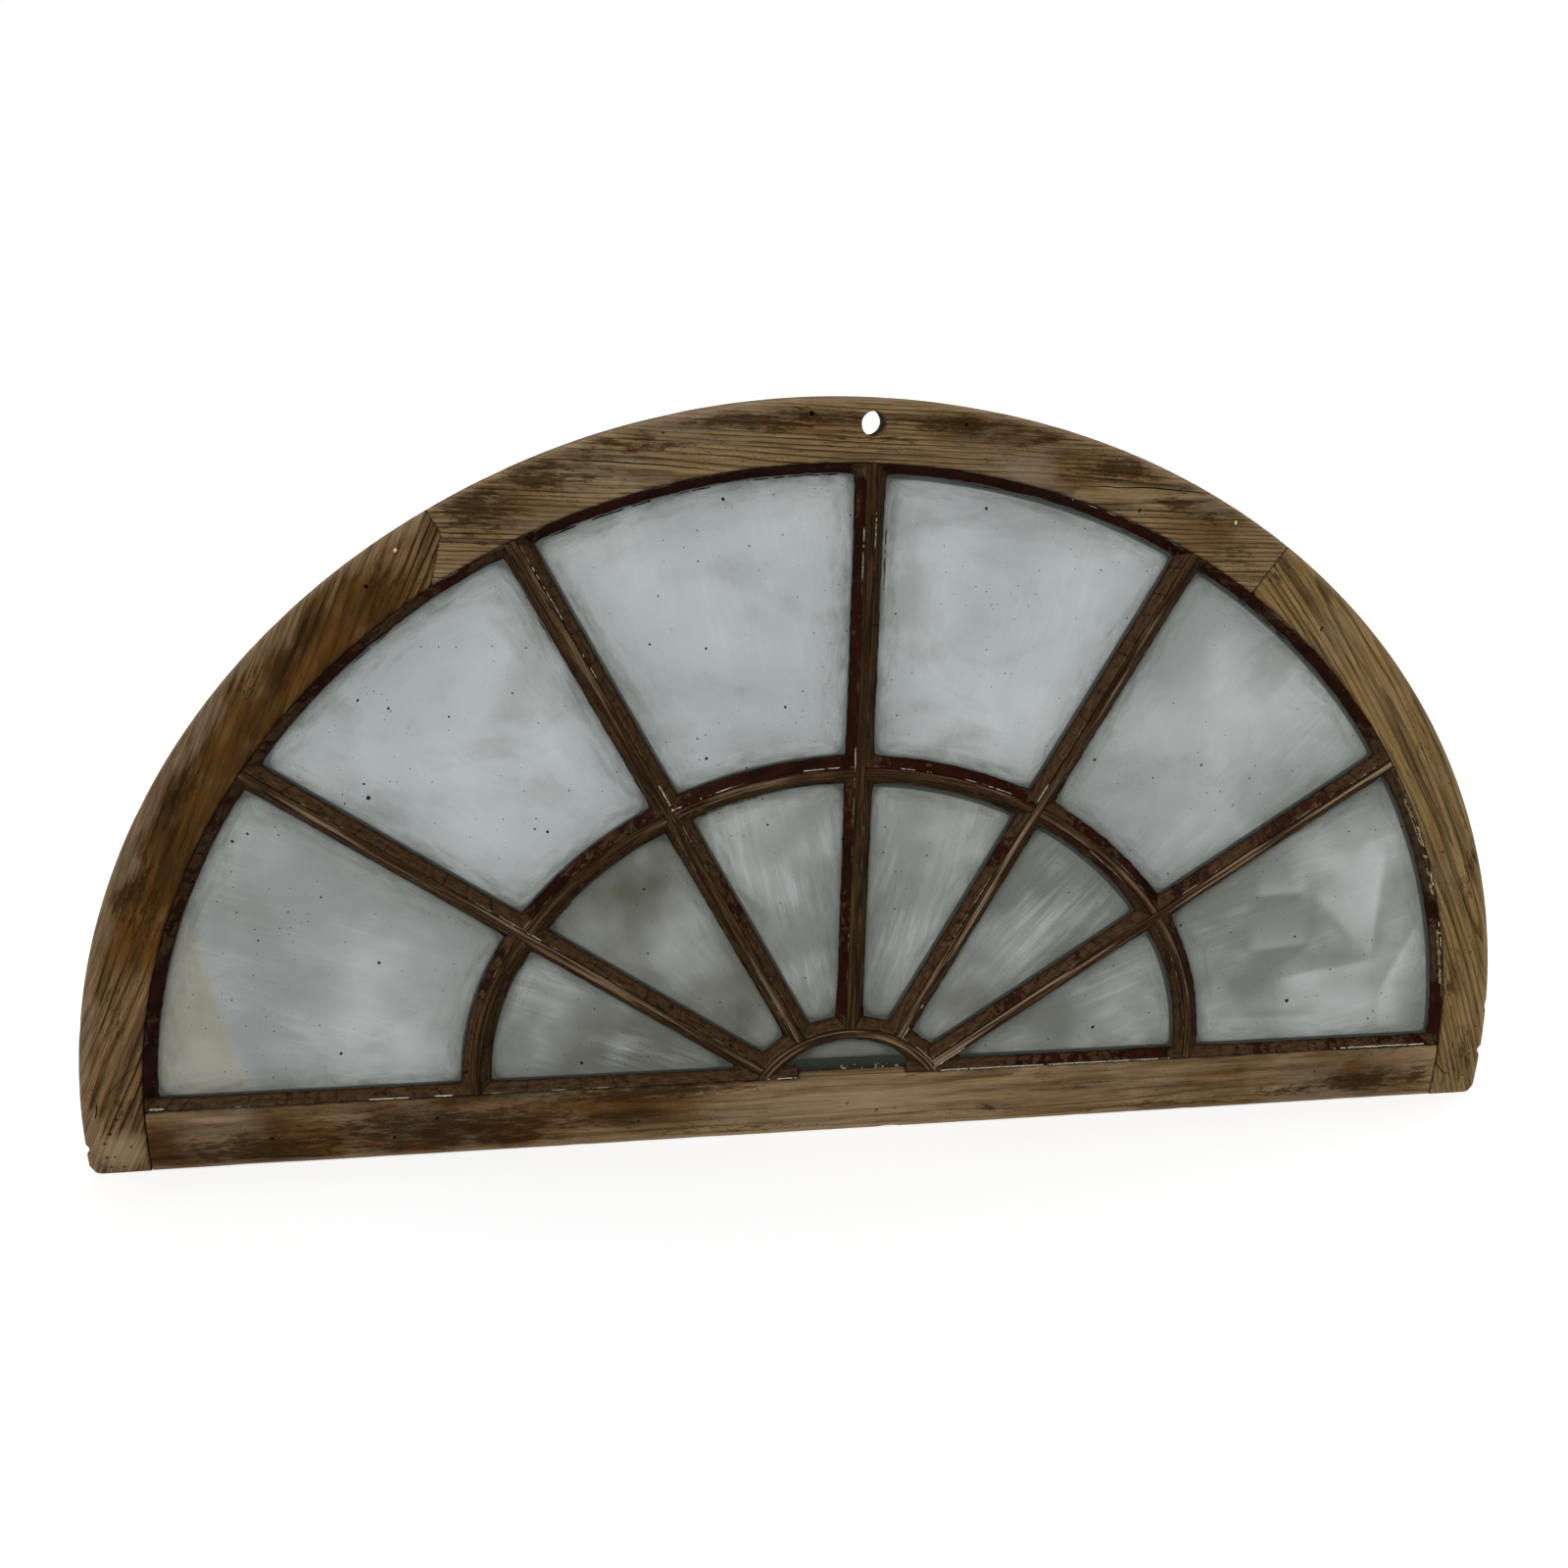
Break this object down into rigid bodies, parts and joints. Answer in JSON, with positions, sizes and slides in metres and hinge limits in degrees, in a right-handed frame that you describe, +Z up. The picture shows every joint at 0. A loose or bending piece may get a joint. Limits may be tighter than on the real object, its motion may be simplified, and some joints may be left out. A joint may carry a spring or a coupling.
{
  "type": "sunburst fanlight window",
  "caption": "Half-round wooden fanlight sash with radial glazing bars, an inner ring and a small hub, glazed with putty-bedded panes, weathered.",
  "frame": {"origin": "middle of the sash's underside, halfway through its thickness", "axes": "+X to the right seen from the putty side, +Y from the putty side to the room side, +Z up"},
  "size_m": [1.22, 0.035, 0.6195],
  "materials": {
    "weathered_wood": "bare, weathered",
    "old_glass": "hazy, dirty",
    "painted_putty": "old dark red paint, cracked"
  },
  "bodies": {
    "root": {"bottom_rail": "weathered_wood", "centre_spoke": "weathered_wood", "crown_felloe": "weathered_wood", "hub_bar": "weathered_wood", "hub_pane": "old_glass", "hub_putty": "painted_putty", "left_felloe": "weathered_wood", "left_foot_ring": "weathered_wood", "left_high_spoke": "weathered_wood", "left_low_inner_pane": "old_glass", "left_low_inner_putty": "painted_putty", "left_low_outer_pane": "old_glass", "left_low_outer_putty": "painted_putty", "left_low_spoke": "weathered_wood", "left_mid_inner_pane": "old_glass", "left_mid_inner_putty": "painted_putty", "left_mid_outer_pane": "old_glass", "left_mid_outer_putty": "painted_putty", "left_mid_ring": "weathered_wood", "left_top_inner_pane": "old_glass", "left_top_inner_putty": "painted_putty", "left_top_outer_pane": "old_glass", "left_top_outer_putty": "painted_putty", "left_top_ring": "weathered_wood", "right_felloe": "weathered_wood", "right_foot_ring": "weathered_wood", "right_high_spoke": "weathered_wood", "right_low_inner_pane": "old_glass", "right_low_inner_putty": "painted_putty", "right_low_outer_pane": "old_glass", "right_low_outer_putty": "painted_putty", "right_low_spoke": "weathered_wood", "right_mid_inner_pane": "old_glass", "right_mid_inner_putty": "painted_putty", "right_mid_outer_pane": "old_glass", "right_mid_outer_putty": "painted_putty", "right_mid_ring": "weathered_wood", "right_top_inner_pane": "old_glass", "right_top_inner_putty": "painted_putty", "right_top_outer_pane": "old_glass", "right_top_outer_putty": "painted_putty", "right_top_ring": "weathered_wood"}
  },
  "joints": []
}
